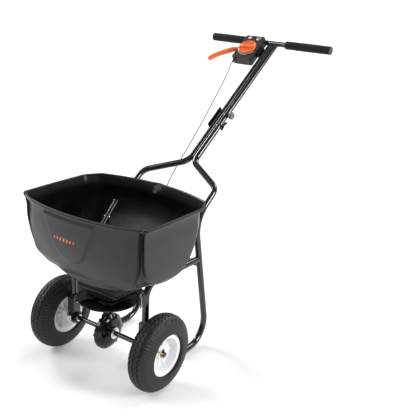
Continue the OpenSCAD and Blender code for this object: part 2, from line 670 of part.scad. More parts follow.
// Outline of the lever: its centre line drops along a curve while it tapers to a rounded tip
function lever_drop(t) = -16 * t * t;
function lever_half(t) = t < 0.94 ? 8.5 - 2.2 * t : 4.4;
lever_steps = [0, 0.15, 0.3, 0.45, 0.6, 0.75, 0.88, 0.94, 1];
lever_outline = concat(
    [for (t = lever_steps) [lever_len * t, lever_drop(t) - lever_half(t)]],
    [for (i = [len(lever_steps) - 1:-1:0]) let (t = lever_steps[i])
        [lever_len * t, lever_drop(t) + lever_half(t)]]);
module lever_shape() linear_extrude(lever_t) difference() {
    union() {
        circle(d = 20);
        rotate(222) polygon(lever_outline);
    }
    circle(d = 6 + 2 * run_gap);
}
// The slot that the lever swings in, through the box's left wall
module lever_sweep() translate([pivot_at[0], pivot_at[1], lever_z - 3]) rotate(222 - lever_range - 46)
    rotate_extrude(angle = lever_range + 76) translate([4, 0]) square([60, lever_t + 6]);
module lever() color("#f2571c") in_box() translate([pivot_at[0], pivot_at[1], lever_z]) lever_shape();
module lever_pivot() color("#8f9296") in_box() translate([pivot_at[0], pivot_at[1], -box_t + 2.6])
    cylinder(d = 6, h = box_t - 6.6);
module box_bracket() color("#141516") in_box() {
    x = -box_x - pair_half - upper_d / 2;
    translate([box_w / 2 + 0.1, -22, -box_t + 4]) cube([x - box_w / 2 - 0.3, 44, 18]);
}

// ---- Control cable ----
boot_d = 9;
boot_at = [-box_w / 2 + 14, 0, -10];
boot_len = 26;
module cable_boot() color("#0d0e0f") in_box() translate([boot_at[0], -box_l / 2 + 4, boot_at[2]])
    rotate([90, 0, 0]) difference() {
        union() {
            cylinder(d = boot_d - 0.2, h = 8);
            translate([0, 0, 4.2]) cylinder(d = boot_d + 3, h = 4);
            translate([0, 0, 8]) cylinder(d1 = boot_d, d2 = 5.4, h = boot_len - 8);
        }
        translate([0, 0, -1]) cylinder(d = cable_d + 0.2, h = boot_len + 2);
    }
// Hand-chosen route of the cable, in the design's frame, from the box to the shut-off plate
cable_route = [[-105, 830, 941.3], [-105, 805, 923.1], [-102, 790, 911], [-95, 752, 874], [-90, 715, 841],
    [-84, 668, 801], [-77, 616, 758], [-71, 563, 713], [-65, 509, 670], [-59, 455, 629],
    [-52, 401, 590], [-44, 352, 550], [-37, 311, 507], [-31, 278, 455], [-28, 256, 400],
    [-25, 238, 350], [-21, 222, 312], [-17, 206, 286], [-13, 188, 271], [-11, 172, 266],
    [-11, 160, 266]];
module control_cable() color("#0c0c0d") placed() rod_along(cable_route, cable_d / 2, 8);
module cable_ferrule() color("#8f9296") placed() translate([wire_x, 160, wire_z]) rotate([90, 0, 0])
    difference() {
        union() {
            cylinder(d = ferrule_d, h = 24);
            cylinder(d = ferrule_d + 3, h = 160 - anchor_y);
        }
        translate([0, 0, 1]) cylinder(d = wire_d + 0.8, h = 30);
    }
// The bare wire, which slides in the ferrule, with the crimped stop in front of the plate's lug
module control_wire() color("#c9cbce") placed() translate([wire_x, 158 - shut_travel, wire_z])
    rotate([90, 0, 0]) {
        cylinder(d = wire_d, h = 62 - shut_travel);
        translate([0, 0, 58.1 - shut_travel]) cylinder(d = 6, h = 7);
    }

hopper();
outlet_base();
shutoff_plate();
shutoff_guides();
deflector();
impeller();
spindle();
spindle_bush();
agitator_finger();
agitator_pin();
gear_case_left();
gear_case_right();
case_screws();
case_bushes();
case_rings();
ring_gear();
pinion_gear();
axle();
axle_brackets();
bracket_bolts();
axle_bearings();
strut_left();
strut_right();
side_tube_left();
side_tube_right();
rear_cross_tube();
foot_caps();
tyre_left();
tyre_right();
rim_left();
rim_right();
valve_left();
valve_right();
hub_washers();
drive_pin();
end_collar();
upper_tube_left();
upper_tube_right();
crossbar();
grip_left_foam();
grip_right_foam();
grip_caps();
clamp_plate();
clamp_bolts();
clamp_knob();
wing_nut();
control_box();
control_cover();
box_bracket();
rate_dial();
dial_screw();
dial_marks();
lever();
lever_pivot();
cable_boot();
control_cable();
cable_ferrule();
control_wire();
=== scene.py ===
import math

import bpy
import numpy as np
from mathutils import Matrix, Vector


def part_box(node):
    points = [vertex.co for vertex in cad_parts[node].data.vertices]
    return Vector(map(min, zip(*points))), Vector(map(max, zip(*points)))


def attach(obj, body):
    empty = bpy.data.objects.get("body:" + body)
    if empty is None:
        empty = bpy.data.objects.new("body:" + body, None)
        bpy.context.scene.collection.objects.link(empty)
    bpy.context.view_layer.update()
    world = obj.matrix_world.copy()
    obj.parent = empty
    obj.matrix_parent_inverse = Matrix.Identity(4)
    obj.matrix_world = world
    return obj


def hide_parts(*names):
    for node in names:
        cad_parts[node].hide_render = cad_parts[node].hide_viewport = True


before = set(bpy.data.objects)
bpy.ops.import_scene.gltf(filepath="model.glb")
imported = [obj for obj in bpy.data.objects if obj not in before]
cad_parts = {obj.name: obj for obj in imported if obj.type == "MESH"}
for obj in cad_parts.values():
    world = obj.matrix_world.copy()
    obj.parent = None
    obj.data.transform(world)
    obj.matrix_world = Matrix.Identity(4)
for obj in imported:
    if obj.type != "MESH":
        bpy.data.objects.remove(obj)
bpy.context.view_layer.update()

# ---- Camera, floor and light ----
# A long lens looks down at the front and the driven wheel's side. The floor and the surround
# are plain and nearly white. Four broad soft lights stand round it, so tubes and edges shine.
LENS = 60.94
TURN, DOWN, LEAN = (math.radians(a) for a in (34.1, 19.0, 3.3))
away = Vector((math.sin(TURN) * math.cos(DOWN), -math.cos(TURN) * math.cos(DOWN), math.sin(DOWN)))
across = Vector((math.cos(TURN), math.sin(TURN), 0))
upward = away.cross(across)
leaning_across = across * math.cos(LEAN) + upward * math.sin(LEAN)
leaning_up = upward * math.cos(LEAN) - across * math.sin(LEAN)
camera = bpy.data.objects.new("camera", bpy.data.cameras.new("camera"))
camera.data.lens = LENS
camera.matrix_world = Matrix((leaning_across, leaning_up, away)).transposed().to_4x4()
camera.matrix_world.translation = (1.4174, -1.9144, 1.2767)
bpy.context.collection.objects.link(camera)
bpy.context.scene.camera = camera

floor_mesh = bpy.data.meshes.new("floor")
floor_mesh.from_pydata([(-60, -60, 0), (60, -60, 0), (60, 60, 0), (-60, 60, 0)], [], [(0, 1, 2, 3)])
floor = bpy.data.objects.new("floor", floor_mesh)
bpy.context.collection.objects.link(floor)
pale = bpy.data.materials.new("pale_floor")
pale.use_nodes = True
pale.node_tree.nodes["Principled BSDF"].inputs["Base Color"].default_value = (0.8, 0.8, 0.8, 1)
pale.node_tree.nodes["Principled BSDF"].inputs["Roughness"].default_value = 0.9
pale.node_tree.nodes["Principled BSDF"].inputs["Specular IOR Level"].default_value = 0.1
pale.node_tree.nodes["Principled BSDF"].inputs["Emission Color"].default_value = (1, 1, 1, 1)
pale.node_tree.nodes["Principled BSDF"].inputs["Emission Strength"].default_value = 0.2
floor_mesh.materials.append(pale)

surround = bpy.data.worlds.new("surround")
surround.use_nodes = True
surround.node_tree.nodes["Background"].inputs["Color"].default_value = (1, 1, 1, 1)
surround.node_tree.nodes["Background"].inputs["Strength"].default_value = 0.28
bpy.context.scene.world = surround
bpy.context.scene.view_settings.view_transform = "Standard"


def soft_light(name, place, strength, width):
    """A far, broad light that shines from place towards the middle; width is its size in degrees."""
    lamp = bpy.data.lights.new(name, "SUN")
    lamp.angle = math.radians(width)
    lamp.energy = strength
    stand = bpy.data.objects.new(name, lamp)
    stand.rotation_euler = Vector(place).to_track_quat("Z", "Y").to_euler()
    bpy.context.collection.objects.link(stand)


soft_light("front_light", (-0.55, -0.5, 0.68), 1.3, 28)
soft_light("left_light", (-0.88, 0.15, 0.5), 1.7, 20)
soft_light("right_light", (0.86, 0.25, 0.48), 2.0, 20)
soft_light("back_light", (0.1, 0.8, 0.6), 1.3, 28)

# ---- Hopper ----
# One moulded shell of black polyethylene, open at the top, with a stepped rim, a raised
# shield on the front, upright grooves beside the flat side panels and a dimple at the back.
axle_low, axle_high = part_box("axle")
middle_x = (axle_low[0] + axle_high[0]) / 2
axle_y = (axle_low[1] + axle_high[1]) / 2
AXLE_Z = (axle_low[2] + axle_high[2]) / 2 * 1000
HOPPER_LOW, HOPPER_TOP = (corner[2] * 1000 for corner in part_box("hopper"))
WALL = 3.0


def placed(points):
    """Millimetres from the ground below the axle's middle, turned into the frame's metres."""
    return np.asarray(points, float) / 1000 + np.array((middle_x, axle_y, 0))


def shell(rows, loop=False):
    """Corners and faces of one closed skin. Each row of points is a ring; neighbours in a ring and
    in the next ring make a quad. loop joins the last ring to the first, otherwise each end ring is
    closed by a fan to its mean. The faces are turned round if the enclosed volume is negative."""
    rows = np.asarray(rows, float)
    count, around = rows.shape[:2]
    i, j = np.meshgrid(np.arange(count if loop else count - 1), np.arange(around), indexing="ij")
    k, n = (j + 1) % around, (i + 1) % count
    quads = np.stack((i * around + j, i * around + k, n * around + k, n * around + j), -1).reshape(-1, 4)
    corners = rows.reshape(-1, 3)
    fans = np.zeros((0, 3), int)
    if not loop:
        corners = np.vstack((corners, rows[0].mean(0), rows[-1].mean(0)))
        a = np.arange(around)
        b = (a + 1) % around
        last = (count - 1) * around
        hub = np.full(around, count * around)
        fans = np.vstack((np.stack((b, a, hub), 1), np.stack((last + a, last + b, hub + 1), 1)))
    tris = np.vstack((quads[:, :3], quads[:, [0, 2, 3]], fans))
    p, q, r = (corners[tris[:, c]] for c in range(3))
    if np.einsum("ij,ij->", p - corners.mean(0), np.cross(q - corners.mean(0), r - corners.mean(0))) < 0:
        quads, fans = quads[:, ::-1], fans[:, ::-1]
    return corners, quads, fans


def build(name, shells, material, body, stands_for=(), crease=38):
    """One object from several closed skins, in millimetres from below the axle's middle. Its faces
    are smooth, apart from edges sharper than crease degrees. It rides on body."""
    corners, faces, start = [], [], 0
    for points, quads, fans in shells:
        corners.append(points)
        faces += (quads + start).tolist() + (fans + start).tolist()
        start += len(points)
    mesh = bpy.data.meshes.new(name)
    mesh.from_pydata(placed(np.vstack(corners)).tolist(), [], faces)
    mesh.shade_smooth()
    mesh.set_sharp_from_angle(angle=math.radians(crease))
    mesh.materials.append(material)
    piece = bpy.data.objects.new(name, mesh)
    bpy.context.collection.objects.link(piece)
    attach(piece, body)
    if stands_for:
        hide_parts(*stands_for)
    return piece


def stuff(name, colour, other, patch, rough, spread, grain, lift, metal=0.0, shine=0.5, detail=3.0):
    """A material on Object coordinates. Noise with features of size patch (metres) blends colour
    with other and moves the roughness by spread either side of rough; noise of size grain makes
    a bump of height lift."""
    material = bpy.data.materials.new(name)
    material.use_nodes = True
    nodes, links = material.node_tree.nodes, material.node_tree.links
    surface = nodes["Principled BSDF"]
    surface.inputs["Metallic"].default_value = metal
    surface.inputs["Specular IOR Level"].default_value = shine
    where = nodes.new("ShaderNodeTexCoord")
    slow, fine = nodes.new("ShaderNodeTexNoise"), nodes.new("ShaderNodeTexNoise")
    for noise, size, layers in ((slow, patch, 4.0), (fine, grain, detail)):
        noise.inputs["Scale"].default_value = 1 / size
        noise.inputs["Detail"].default_value = layers
        links.new(where.outputs["Object"], noise.inputs["Vector"])
    blend = nodes.new("ShaderNodeValToRGB")
    blend.color_ramp.elements[0].position = 0.36
    blend.color_ramp.elements[0].color = (*colour, 1)
    blend.color_ramp.elements[1].position = 0.64
    blend.color_ramp.elements[1].color = (*other, 1)
    links.new(slow.outputs["Fac"], blend.inputs["Fac"])
    links.new(blend.outputs["Color"], surface.inputs["Base Color"])
    dull = nodes.new("ShaderNodeMapRange")
    dull.inputs["From Min"].default_value = 0.3
    dull.inputs["From Max"].default_value = 0.7
    dull.inputs["To Min"].default_value = rough - spread
    dull.inputs["To Max"].default_value = rough + spread
    links.new(slow.outputs["Fac"], dull.inputs["Value"])
    links.new(dull.outputs["Result"], surface.inputs["Roughness"])
    bump = nodes.new("ShaderNodeBump")
    bump.inputs["Strength"].default_value = 0.6
    bump.inputs["Distance"].default_value = lift
    links.new(fine.outputs["Fac"], bump.inputs["Height"])
    links.new(bump.outputs["Normal"], surface.inputs["Normal"])
    return material


def smooth_curve(knots, values, at):
    """Values between knots by cubic pieces whose slope at a knot is that of its two neighbours."""
    knots, values = np.asarray(knots, float), np.asarray(values, float)
    slope = np.gradient(values, knots, axis=0)
    i = np.clip(np.searchsorted(knots, at, side="right") - 1, 0, len(knots) - 2)
    step = knots[i + 1] - knots[i]
    t = (at - knots[i]) / step
    if values.ndim > 1:
        t, step = t[:, None], step[:, None]
    return ((1 + 2 * t) * (1 - t) ** 2 * values[i] + t * (1 - t) ** 2 * step * slope[i]
            + t * t * (3 - 2 * t) * values[i + 1] + t * t * (t - 1) * step * slope[i + 1])


def ease(t):
    """From 0 to 1 with level ends: 3t squared less 2t cubed."""
    t = np.clip(t, 0, 1)
    return t * t * (3 - 2 * t)


# Height above the outlet, front half width, front corner, front bulge, side half width, side's
# front end, back corner, back bulge
hopper_shape = np.array([
    (0, 82, 52, 2, 82, 50, 52, 2), (28, 95, 62, 14, 96, 58, 58, 12), (50, 112, 90, 24, 122, 40, 50, 34),
    (62, 138, 96, 20, 144, 14, 48, 46), (68, 164, 98, 20, 180, 8, 47, 52), (76, 180, 101, 22, 214, 0, 50, 60),
    (88, 197, 106, 24, 228, 42, 70, 62),
    (107, 211, 112, 26, 235, 80, 90, 66), (125, 217, 114, 32, 238, 96, 104, 70),
    (160, 226, 119, 38, 240, 111, 124, 78), (210, 233, 125, 40, 241, 118, 138, 88),
    (270, 238, 127, 43, 243, 119, 142, 95), (287, 243, 130, 45, 250, 122, 147, 98)], float)
FRONT_COLUMNS, CORNER_COLUMNS, SIDE_COLUMNS, BACK_COLUMNS = 200, 14, 64, 120


def shield_depth(x, z):
    """Distance inside the shield's outline: its sides slope outwards with height, its foot is level,
    and the two lower corners are round."""
    half = 50 + (z - 425) * 0.46
    side = (half - np.abs(x - SHIELD_X)) * 0.91
    foot = z - SHIELD_FOOT
    r = SHIELD_CORNER
    corner = r - np.hypot(np.maximum(r - side, 0), np.maximum(r - foot, 0))
    return np.where((side < r) & (foot < r), corner, np.minimum(side, foot))


def hopper_rings(heights, out, relief):
    """Rings of the hopper at some heights above the outlet, each moved out by a distance. The front is
    a parabola, a channel leads from its ends to the nearly flat sides, and the back is a parabola
    on a steep shoulder. The corners are rounded by averaging neighbours. Then the relief, a number
    from 0 to 1 for each ring, moves points along the ring's normal: the shield, which fades out below
    the rim, the dips beside the front's corners, the ridge along the front's lower edge, and the
    dimple in the back. Last comes the spout, a low swelling of the back's rim."""
    half, front, swell, side, nose, back, bulge = (
        smooth_curve(hopper_shape[:, 0], hopper_shape[:, c], heights)[:, None] for c in range(1, 8))
    u = np.linspace(-1, 1, FRONT_COLUMNS, endpoint=False)[None]
    c = np.linspace(0, 1, CORNER_COLUMNS, endpoint=False)[None]
    v = np.linspace(0, 1, SIDE_COLUMNS, endpoint=False)[None]
    w = np.linspace(1, -1, BACK_COLUMNS, endpoint=False)[None]
    crown = 2.5 * 4 * v * (1 - v)
    channel = CHANNEL * np.sin(np.pi * c) ** 0.7 * ease((heights[:, None] - 70) / 60)
    corner_x = half + (side - half) * c - 0.7 * channel
    corner_y = -front + (front - nose) * c + 0.7 * channel
    x = np.hstack((half * u, corner_x, side + crown, side * w, -side - crown[:, ::-1], -corner_x[:, ::-1]))
    y = np.hstack((-front - swell * (1 - u * u), corner_y, -nose + (nose + back) * v,
                   back + bulge * (0.4 * np.minimum(1, (1 - np.abs(w)) / 0.12) + 0.6 * (1 - w * w)),
                   back - (nose + back) * v, corner_y[:, ::-1]))
    for _ in range(2):
        x = (np.roll(x, 1, 1) + 2 * x + np.roll(x, -1, 1)) / 4
        y = (np.roll(y, 1, 1) + 2 * y + np.roll(y, -1, 1)) / 4
    z = HOPPER_LOW + heights[:, None] + 0 * x
    across_x, across_y = np.roll(x, -1, 1) - np.roll(x, 1, 1), np.roll(y, -1, 1) - np.roll(y, 1, 1)
    length = np.hypot(across_x, across_y)
    out_x, out_y = across_y / length, -across_x / length
    facing_front = (np.arange(x.shape[1])[None] < FRONT_COLUMNS)
    shield = SHIELD * ease(shield_depth(x, z) / 6) * facing_front * (1 - ease((z - 550) / 13))
    share = np.abs(x) / half
    dip = facing_front * (7.0 * np.exp(-((share - 0.93) / 0.08) ** 2) * ease((z - 430) / 120)
                          + 6.0 * ease((share - 0.945) / 0.03) * ease((z - 360) / 50))
    edge_z = 334 + 46 * (np.abs(x) / 225) ** 2.2
    ridge = 2.2 * np.exp(-((z - edge_z) / 3.2) ** 2) * facing_front
    dimple = DIMPLE * np.exp(-(np.hypot(x, z - DIMPLE_Z) / 15) ** 4) * (y > 100)
    move = relief[:, None] * (shield + ridge - dip - dimple) + np.asarray(out)[:, None]
    spout = 5.0 * np.exp(-(x / 17) ** 4) * (y > 100) * ease((z - 566) / 5)
    return np.stack((x + out_x * move, y + out_y * (move + spout), z), -1)


CHANNEL, SHIELD, DIMPLE = 12.0, 7.0, 12.0
SHIELD_X, SHIELD_FOOT, SHIELD_CORNER, DIMPLE_Z = -11.0, 414.0, 34.0, 543.0
TALL = HOPPER_TOP - HOPPER_LOW
# The rim's section, from the wall outwards and over its stepped top to the inside: out, below the top
rim_section = np.array([(0, -14), (0.3, -12.4), (1.2, -11.2), (4.8, -10.4), (5.7, -9.8), (6, -8.8), (6, -6),
                        (5.7, -5.2), (4.7, -4.9), (3.9, -4.6), (3.7, -3.8), (3.7, -1), (3.2, -0.2),
                        (2.4, 0), (-1.6, 0), (-2.6, -0.4), (-3, -1.4)])
outer_heights = np.concatenate((np.arange(0, 30, 5.0), np.arange(30, 66, 1.8), np.arange(66, TALL - 15, 3.0)))
inner_heights = np.linspace(TALL - 4, 0, 44)
ring_heights = np.concatenate((outer_heights, TALL + rim_section[:, 1], inner_heights))
ring_out = np.concatenate((0 * outer_heights, rim_section[:, 0], 0 * inner_heights - WALL))
# The inside's floor follows the outside a little lower, which keeps the sloping wall's thickness
inner_shape = np.maximum(inner_heights - 1.2 * WALL * (inner_heights < TALL - 30), 0)
ring_shape = np.concatenate((outer_heights, TALL + rim_section[:, 1], inner_shape))
ring_relief = np.concatenate((0 * outer_heights + 1, np.linspace(1, 0.6, len(rim_section)),
                              np.interp(inner_heights, (0, 60, TALL), (0, 0.8, 0.8))))
hopper_points = hopper_rings(ring_shape, ring_out, ring_relief)
hopper_points[:, :, 2] = HOPPER_LOW + ring_heights[:, None]

hopper_plastic = stuff("hopper_plastic", (0.014, 0.0145, 0.0155), (0.019, 0.0195, 0.0205), 0.09, 0.40,
                       0.05, 0.0009, 0.00007, shine=0.42)
# The inside's faces take a far darker, less shiny copy of the same plastic: painted shade for the deep
# hollow.
hopper_inside_painted_shade = stuff("hopper_inside_painted_shade", (0.0022, 0.0022, 0.0025), (0.0035, 0.0035, 0.004), 0.07, 0.36,
                      0.05, 0.0009, 0.00007, shine=0.16)
hopper = build("hopper_shell", [shell(hopper_points, loop=True)], hopper_plastic, "frame",
               ("hopper",), crease=60)
hopper.data.materials.append(hopper_inside_painted_shade)
# Faces from the rim's inner lip down the inside to the outlet get the second slot, the painted shade
# material.
first_inner = len(outer_heights) + len(rim_section) - 1
column_count = hopper_points.shape[1]
which = np.zeros(len(hopper.data.polygons), np.int32)
which[first_inner * column_count:(len(ring_heights) - 1) * column_count] = 1
hopper.data.polygons.foreach_set("material_index", which)

# ---- Orange mark on the shield ----
# A plain row of slanted seeds, pad-printed in orange on the front of the hopper. It stands
# for whatever the maker prints there.


def front_wall_y(x, z):
    """The hopper's front at x and z: the section's parabola with the shield's full height."""
    h = np.atleast_1d(z - HOPPER_LOW).ravel()
    half, front, swell = (smooth_curve(hopper_shape[:, 0], hopper_shape[:, c], h).reshape(np.shape(z))
                          for c in (1, 2, 3))
    return -front - swell * (1 - (x / half) ** 2) - SHIELD


def seed(x, z, long, wide):
    """A slanted ellipse that lies on the front wall, 0.5 mm proud, closed behind."""
    a = np.linspace(0, 2 * np.pi, 24, endpoint=False)
    rows = []
    for size, proud in ((1, -0.6), (1, 0.35), (0.93, 0.5), (0.4, 0.5)):
        px = x + size * (long * np.cos(a) * 0.42 - wide * np.sin(a) * 0.9)
        pz = z + size * (long * np.cos(a) * 0.9 + wide * np.sin(a) * 0.42)
        rows.append(np.stack((px, front_wall_y(px, pz) - proud, pz), -1))
    return shell(rows)


orange_ink = stuff("orange_ink", (0.78, 0.17, 0.035), (0.70, 0.14, 0.03), 0.02, 0.45, 0.05, 0.0006, 0.00004)
seeds = []
for n in range(7):
    fuller = math.sin(math.pi * n / 6)
    seeds.append(seed(-64 + 13.5 * n, 489, 5.2 + 2.2 * fuller, 2.5 + 0.9 * fuller))
build("seed_mark", seeds, orange_ink, "frame")

# ---- Tyres ----
# Two 10 inch pneumatic tyres of black rubber, with three zigzag grooves round the tread,
# notched shoulders and raised rings on the side walls. They sit inside the rims' flanges.
TYRE_R = AXLE_Z
TYRE_HALF = 40.0
SEAT_R, FLANGE_R, BEAD_Z = 60.3, 68.8, 27.8
left_tyre, right_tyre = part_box("tyre_left"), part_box("tyre_right")
WHEEL_X = {"left": ((left_tyre[0][0] + left_tyre[1][0]) / 2 - middle_x) * 1000,
           "right": ((right_tyre[0][0] + right_tyre[1][0]) / 2 - middle_x) * 1000}


def turned(profile, steps, x=0.0, y=0.0, z=0.0, along="x"):
    """Rings of a section swept about a line: each point (distance along the line, radius) becomes
    a circle, so the rings are the section's points one after another."""
    profile = np.asarray(profile, float)
    a = np.linspace(0, 2 * np.pi, steps, endpoint=False)[None]
    far, radius = profile[:, :1], profile[:, 1:]
    ring_a, ring_b, ring_far = radius * np.cos(a), radius * np.sin(a), far + 0 * a
    order = {"x": (ring_far, ring_a, ring_b), "y": (ring_b, ring_far, ring_a),
             "z": (ring_a, ring_b, ring_far)}
    return np.stack(order[along], -1) + np.array((x, y, z))


def tread_depth(z, radius, angle):
    """How far the rubber is cut back: three zigzag grooves, slits between them, and shoulder notches."""
    zigzag = 3.0 * (2 * np.abs((angle * 44 / (2 * np.pi)) % 1 * 2 - 1) - 1)
    cut = 0 * (z + angle)
    for centre in (-15.0, 0.0, 15.0):
        cut = np.maximum(cut, 3.4 * (1 - ease((np.abs(z - centre - zigzag) - 1.0) / 1.4)))
    slit = 1 - ease((np.abs((angle * 88 / (2 * np.pi)) % 1 - 0.5) - 0.07) / 0.07)
    cut = np.maximum(cut, 1.1 * slit * (np.abs(z) < 24))
    notch = 1 - ease((np.abs((angle * 66 / (2 * np.pi)) % 1 - 0.5) - 0.13) / 0.12)
    return np.maximum(cut, 2.2 * notch * ease((np.abs(z) - 24) / 3) * ease((radius - 104) / 6))


def tyre(side):
    """A closed tube of rubber. The section's radius grows with sin^0.72 and its width goes with cos^0.8
    of one angle, from bead to bead; the side walls carry thin raised rings."""
    t = np.concatenate((np.linspace(0.004, 0.62, 22, endpoint=False), np.linspace(0.62, np.pi - 0.62, 76),
                        np.linspace(np.pi - 0.62, np.pi - 0.004, 22)[1:]))
    radius = SEAT_R + (TYRE_R - SEAT_R) * np.sin(t) ** 0.72
    width = np.sign(np.cos(t)) * np.abs(np.cos(t)) ** 0.8 * TYRE_HALF
    for ring in (76.0, 84.0, 101.0):
        width = width + np.sign(width) * 0.8 * np.exp(-((radius - ring) / 1.1) ** 2) * (np.abs(width) > 25)
    keep = radius > FLANGE_R + 0.6
    radius, width = radius[keep], width[keep]
    a = np.linspace(0, 2 * np.pi, 440, endpoint=False)[:, None]
    deep = radius[None] - tread_depth(width[None], radius[None], a)
    inside = np.array([(-28, FLANGE_R + 0.3), (-BEAD_Z, FLANGE_R - 0.6), (-BEAD_Z, SEAT_R), (-21, SEAT_R),
                       (-21, 70), (-33, 84), (-30, 105), (0, 117), (30, 105), (33, 84), (21, 70),
                       (21, SEAT_R), (BEAD_Z, SEAT_R), (BEAD_Z, FLANGE_R - 0.6), (28, FLANGE_R + 0.3)], float)
    ring_r = np.hstack((deep, np.tile(inside[:, 1], (len(a), 1))))
    ring_z = np.hstack((np.tile(width, (len(a), 1)), np.tile(inside[:, 0], (len(a), 1))))
    return np.stack((ring_z + WHEEL_X[side], ring_r * np.cos(a), AXLE_Z + ring_r * np.sin(a)), -1)


rubber = stuff("tyre_rubber", (0.006, 0.006, 0.0065), (0.014, 0.014, 0.014), 0.03, 0.5, 0.08, 0.0012,
               0.00016, shine=0.4)
for side, body in (("left", "idle_wheel"), ("right", "drive_axle")):
    build("tyre_" + side + "_moulded", [shell(tyre(side), loop=True)], rubber, body,
          ("tyre_" + side,), crease=35)

# ---- Wheel rims ----
# White moulded plastic rims: two flanges, a barrel, a web with ten ribs on each face and a long
# hub. The driven one is pinned to the axle and the other one turns on it.
RIBS = 10
rim_barrel = [(-28, 59.8), (-28.2, 67.4), (-28.9, 68.3), (-30.2, 68.5), (-31, 67.6), (-31, 65.5), (-30.2, 60),
              (-29, 56.5), (-20, 52.6), (-10, 49.6), (10, 49.6), (20, 52.6), (29, 56.5), (30.2, 60),
              (31, 65.5), (31, 67.6), (30.2, 68.5), (28.9, 68.3), (28.2, 67.4), (28, 59.8), (10, 54.4),
              (-10, 54.4)]
web_disc = [(-4, 1.0), (-4, 47), (-6.5, 50.5), (-6.5, 52), (6.5, 52), (6.5, 50.5), (4, 47), (4, 1.0)]
hub_barrel = [(-38, 8.2), (-38, 16), (-37, 17), (-8, 17), (-4, 19), (4, 19), (8, 17.4), (13.2, 16.6),
              (14, 15.8), (14, 12.2), (13.2, 11.4), (11, 11.2), (11, 8.2)]


def rib(angle, out_z):
    """One rib: a slab that runs out from the hub to the barrel, rounded along its free edge."""
    r = np.linspace(15, 51, 10)
    lift = 2.2 * ((r - 15) / 36) ** 2
    top = out_z + np.sign(out_z) * lift
    rows = []
    for across_half, drop in ((1.9, 1.0), (1.5, 0.12), (0.9, 0.0), (-0.9, 0.0), (-1.5, 0.12), (-1.9, 1.0)):
        rows.append(np.stack((top - np.sign(out_z) * drop, r, across_half + 0 * r), -1))
    for across_half in (-2.1, 2.1):
        rows.append(np.stack((0 * r, r, across_half + 0 * r), -1))
    points = np.stack(rows, 1)
    turn = np.array(((1, 0, 0), (0, math.cos(angle), -math.sin(angle)),
                     (0, math.sin(angle), math.cos(angle))))
    return points @ turn.T


white_plastic = stuff("white_plastic", (0.84, 0.845, 0.85), (0.88, 0.885, 0.89), 0.03, 0.36, 0.06, 0.0011,
                      0.00006)
for side, body, face in (("left", "idle_wheel", -1), ("right", "drive_axle", 1)):
    skins = [shell(turned(rim_barrel, 160, WHEEL_X[side], z=AXLE_Z), loop=True),
             shell(turned(web_disc, 96, WHEEL_X[side], z=AXLE_Z)),
             shell(turned([(face * far, radius) for far, radius in hub_barrel], 72, WHEEL_X[side], z=AXLE_Z),
                   loop=True)]
    for n in range(RIBS):
        for out_z in (8.0, -17.0):
            points = rib(2 * math.pi * n / RIBS, out_z)
            points[:, :, 0] *= face
            skins.append(shell(points + np.array((WHEEL_X[side], 0, AXLE_Z))))
    build("rim_" + side + "_moulded", skins, white_plastic, body, ("rim_" + side,))

# ---- Frame tubes ----
# Gloss black powder-coated steel. Each side tube runs from the handle's joint out round the hopper
# and down to the foot; a strut carries the axle; a cross tube ties the legs behind the hopper.
TUBE_R, UPPER_R, BAR_R = 11.0, 9.5, 10.0
HANDLE_FOOT = np.array((0.0, 420.0, 621.0))
bar_low, bar_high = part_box("crossbar")
bar_middle = (np.array(bar_low) + np.array(bar_high)) / 2
BAR_Y, BAR_Z = (bar_middle[1] - axle_y) * 1000, bar_middle[2] * 1000
SLOPE = math.atan2(BAR_Z - HANDLE_FOOT[2], BAR_Y - HANDLE_FOOT[1])
HANDLE_LONG = math.hypot(BAR_Y - HANDLE_FOOT[1], BAR_Z - HANDLE_FOOT[2])
ALONG = np.array((0, math.cos(SLOPE), math.sin(SLOPE)))
OUT = np.array((0, -math.sin(SLOPE), math.cos(SLOPE)))
PAIR = 11.3


def on_handle(x, s, n=0.0):
    """A point x to the side, s up the handle from its foot and n out of its front face."""
    return HANDLE_FOOT + np.array((x, 0, 0)) + s * ALONG + n * OUT


def rounded(points, radii, steps=14):
    """A path whose corners are arcs of the given radii, with straight runs between them."""
    points = [np.asarray(p, float) for p in points]
    path = [points[0]]
    for before, corner, after, radius in zip(points, points[1:], points[2:], radii):
        u, v = before - corner, after - corner
        u, v = u / np.linalg.norm(u), v / np.linalg.norm(v)
        half = math.acos(np.clip(u @ v, -1, 1)) / 2
        centre = corner + (u + v) / np.linalg.norm(u + v) * radius / math.sin(half)
        reach = radius / math.tan(half)
        first, last = corner + u * reach - centre, corner + v * reach - centre
        sweep = math.pi - 2 * half
        k = np.linspace(0, 1, steps)[:, None]
        path += list(centre + (np.sin((1 - k) * sweep) * first + np.sin(k * sweep) * last) / math.sin(sweep))
    return np.array(path + [points[-1]])


def along_path(path, radius, sides=40):
    """Rings of a round rod along a path, each square to it. radius is one number or one for each
    point."""
    path = np.asarray(path, float)
    ahead = np.gradient(path, axis=0)
    ahead /= np.linalg.norm(ahead, axis=1)[:, None]
    sideways = np.cross(ahead, (0.94, 0.05, 0.33) if abs(ahead[0][0]) < 0.9 else (0, 0, 1))
    sideways /= np.linalg.norm(sideways, axis=1)[:, None]
    other = np.cross(ahead, sideways)
    a = np.linspace(0, 2 * np.pi, sides, endpoint=False)[None, :, None]
    radius = np.broadcast_to(radius, len(path))[:, None, None]
    return path[:, None] + radius * (np.cos(a) * sideways[:, None] + np.sin(a) * other[:, None])


def tube_skin(path, radius, wall=1.5):
    """A hollow tube: the outside's rings from end to end, then the bore's rings back again."""
    outside, inside = along_path(path, radius), along_path(path, radius - wall)
    return shell(np.vstack((outside, inside[::-1])), loop=True)


